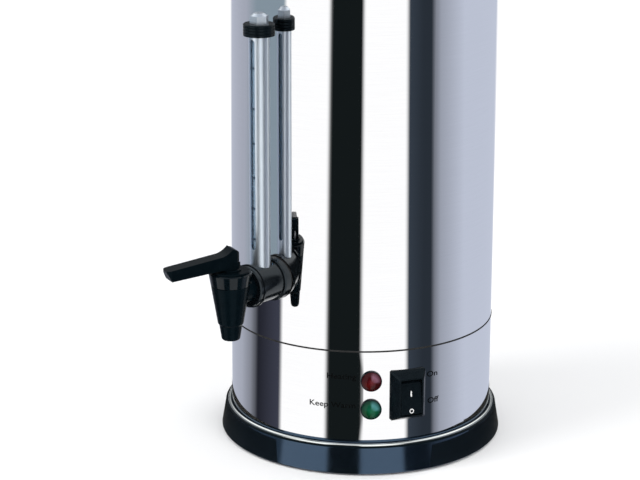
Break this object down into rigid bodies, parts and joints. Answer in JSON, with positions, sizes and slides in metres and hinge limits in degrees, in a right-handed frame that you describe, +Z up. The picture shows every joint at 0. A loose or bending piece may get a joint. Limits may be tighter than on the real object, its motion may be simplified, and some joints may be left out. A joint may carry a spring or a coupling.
{
  "type": "coffee urn",
  "caption": "Upright polished coffee urn with a lever tap, sight gauge, rocker switch, lamps, side handles, lift-off lid and a percolator inside.",
  "frame": {"origin": "on the floor, on the upright axis of the body", "axes": "+Z up along the body's axis, -Y towards the tap, +X to the right seen from the tap's side"},
  "size_m": [0.299, 0.3326, 0.4789],
  "materials": {
    "polished_steel": "mirror polished stainless sheet",
    "bright_trim": "bright chrome",
    "inner_steel": "satin stainless",
    "fastener_steel": "zinc plated",
    "heater_aluminium": "cast",
    "element_sheath": "heat darkened",
    "black_moulding": "smooth moulded, semi gloss",
    "switch_black": "fine satin",
    "matt_black": "fine grain",
    "black_rubber": "matt",
    "red_silicone": "matt",
    "cream_ceramic": "glazed",
    "brown_phenolic": "moulded",
    "contact_brass": "tinned",
    "red_lamp": "clear, fluted inside",
    "green_lamp": "clear, fluted inside",
    "clear_glass": "clear"
  },
  "bodies": {
    "urn": {"tank": "polished_steel", "skirt": "polished_steel", "trim_ring": "bright_trim", "gauge_shield": "bright_trim", "gauge_nut": "bright_trim", "pump_base": "inner_steel", "pump_tube": "inner_steel", "coffee_basket": "inner_steel", "basket_cover": "inner_steel", "heat_shield": "inner_steel", "tap_shank": "inner_steel", "shank_nut": "inner_steel", "tie_rods": "fastener_steel", "tie_nuts": "fastener_steel", "shield_spacers": "fastener_steel", "cover_screws": "fastener_steel", "inlet_screws": "fastener_steel", "handle_screws": "fastener_steel", "valve_spring": "fastener_steel", "heater_plate": "heater_aluminium", "heating_element": "element_sheath", "base_moulding": "black_moulding", "handle_left": "black_moulding", "handle_right": "black_moulding", "gauge_tee": "black_moulding", "tap_lock_nut": "black_moulding", "tap_body": "black_moulding", "tap_bonnet": "black_moulding", "switch_housing": "switch_black", "base_cover": "matt_black", "mains_inlet": "matt_black", "lamp_bezels": "matt_black", "lamp_nuts": "matt_black", "gauge_collar": "matt_black", "handle_washers": "matt_black", "rubber_feet": "black_rubber", "seam_gasket": "black_rubber", "wall_gasket": "black_rubber", "inner_gasket": "black_rubber", "gauge_lower_seal": "black_rubber", "gauge_upper_seal": "black_rubber", "stem_seal": "red_silicone", "terminal_block": "cream_ceramic", "keep_warm_thermostat": "cream_ceramic", "boil_thermostat": "brown_phenolic", "thermal_cutout": "brown_phenolic", "inlet_pins": "contact_brass", "switch_terminals": "contact_brass", "red_lens": "red_lamp", "green_lens": "green_lamp", "gauge_glass": "clear_glass"},
    "rocker": {"rocker": "switch_black"},
    "swivel": {"cam_washer": "black_moulding"},
    "stem": {"valve_stem": "inner_steel", "seat_cup": "red_silicone", "lever_pin": "inner_steel"},
    "lever": {"tap_lever": "black_moulding"},
    "lid": {"lid": "polished_steel", "lid_knob": "black_moulding", "knob_screw": "fastener_steel"}
  },
  "joints": [
    {"name": "lid_lift", "type": "slide", "parent": "urn", "child": "lid", "axis": [0, 0, 1], "range_m": [0, 0.12]},
    {"name": "rocker_tilt", "type": "hinge", "parent": "urn", "child": "rocker", "pos_m": [0.09974, -0.05922, 0.0657], "axis": [0.5105, 0.8599, 0], "range_deg": [0, 16]},
    {"name": "lever_swivel", "type": "hinge", "parent": "urn", "child": "swivel", "pos_m": [0, -0.162, 0.1767], "axis": [0, 0, 1], "range_deg": [-112, 157]},
    {"name": "stem_lift", "type": "slide", "parent": "swivel", "child": "stem", "axis": [0, 0, 1], "range_m": [0, 0.0024], "stiffness_N_per_m": 600, "springref_m": -0.004, "deforming": ["valve_spring"]},
    {"name": "lever_raise", "type": "hinge", "parent": "stem", "child": "lever", "pos_m": [0, -0.162, 0.1818], "axis": [-0.9219, 0.3875, 0], "range_deg": [0, 70]}
  ],
  "couplings": [
    {"joint": "lever_raise", "follows": "stem_lift", "rad_per_m": 509.05}
  ]
}
